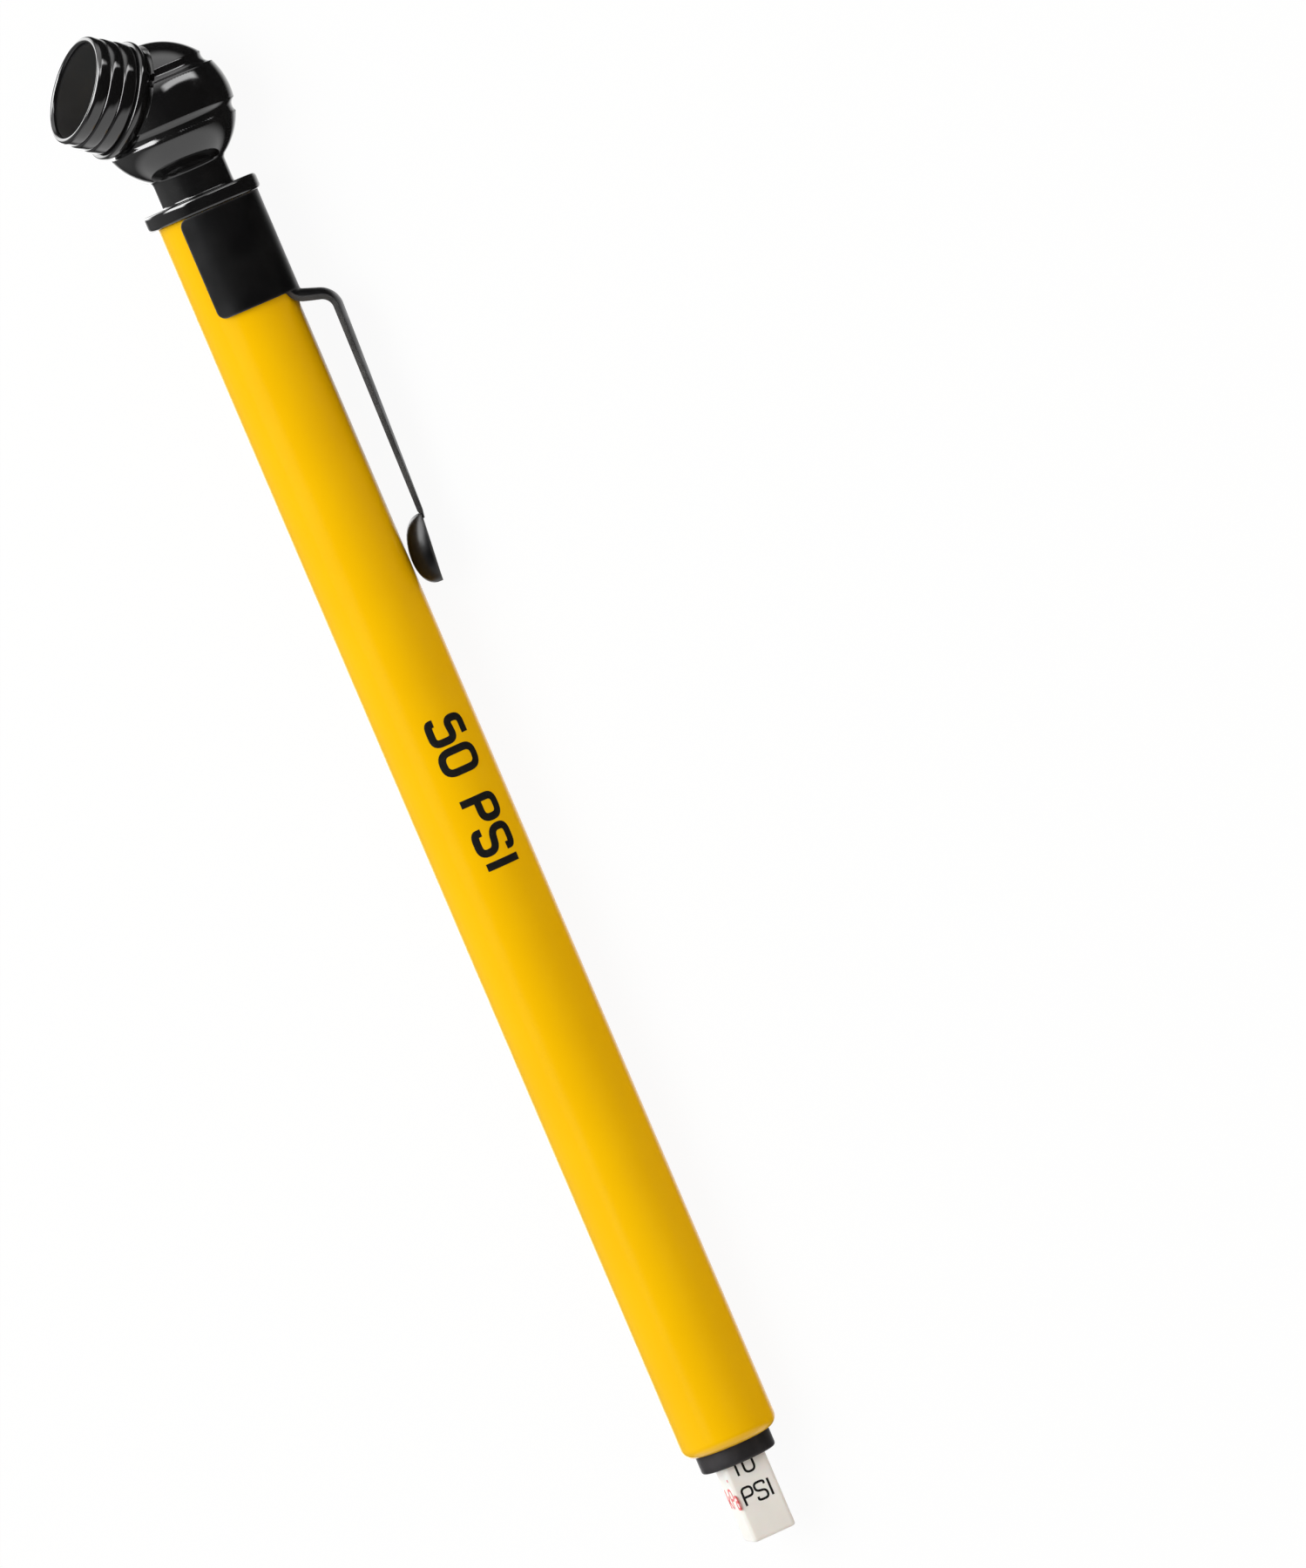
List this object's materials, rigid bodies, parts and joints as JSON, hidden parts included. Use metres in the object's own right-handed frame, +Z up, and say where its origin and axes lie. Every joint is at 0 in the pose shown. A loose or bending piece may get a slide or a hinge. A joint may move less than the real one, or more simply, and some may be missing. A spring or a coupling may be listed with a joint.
{
  "type": "pencil tyre pressure gauge",
  "caption": "Pencil tyre pressure gauge: yellow tube, black ball chuck with an angled ribbed mouth, spring piston, sliding square indicator bar and steel pocket clip.",
  "frame": {"origin": "centre of the bounding box's bottom face: the gauge lies on a table on its ball, its tail edge and its clip", "axes": "+X along the tube towards the chuck head, +Z up; the clip points to -Y and downwards"},
  "size_m": [0.1527, 0.017, 0.0168],
  "materials": {
    "yellow_lacquer": "gloss",
    "black_gloss": "gloss",
    "black_rubber": "matt",
    "brass": "satin",
    "spring_steel": "satin",
    "grey_acetal": "satin",
    "charcoal_plastic": "matt",
    "white_nylon": "satin",
    "black_steel": "satin"
  },
  "bodies": {
    "gauge_body": {"barrel": "yellow_lacquer", "chuck_head": "black_gloss", "head_o_ring": "black_rubber", "valve_seal": "black_rubber", "deflator_pin": "brass", "main_spring": "spring_steel", "spring_washer": "spring_steel", "end_guide": "charcoal_plastic", "grip_spring": "spring_steel"},
    "indicator": {"indicator_bar": "white_nylon"},
    "piston": {"piston_body": "grey_acetal", "piston_cup": "black_rubber", "cup_washer": "spring_steel", "piston_rivet": "brass"},
    "clip_collar": {"clip_band": "black_steel"},
    "clip_strip": {"clip_arm": "black_steel"}
  },
  "joints": [
    {"name": "bar_slide", "type": "slide", "parent": "gauge_body", "child": "indicator", "axis": [-0.9999, 0, -0.0147], "range_m": [0, 0.048]},
    {"name": "piston_slide", "type": "slide", "parent": "gauge_body", "child": "piston", "axis": [-0.9999, 0, -0.0147], "range_m": [0, 0.048], "deforming": ["main_spring"]},
    {"name": "clip_turn", "type": "hinge", "parent": "gauge_body", "child": "clip_collar", "pos_m": [0.05203, -0.00005, 0.00648], "axis": [0.9999, 0, 0.0147], "continuous": true},
    {"name": "clip_flex", "type": "hinge", "parent": "clip_collar", "child": "clip_strip", "pos_m": [0.04742, -0.00467, 0.00387], "axis": [-0.0128, -0.4822, 0.8759], "range_deg": [0, 7], "stiffness_Nm_per_rad": 0.3}
  ],
  "couplings": [
    {"joint": "piston_slide", "follows": "bar_slide", "ratio": 1}
  ]
}
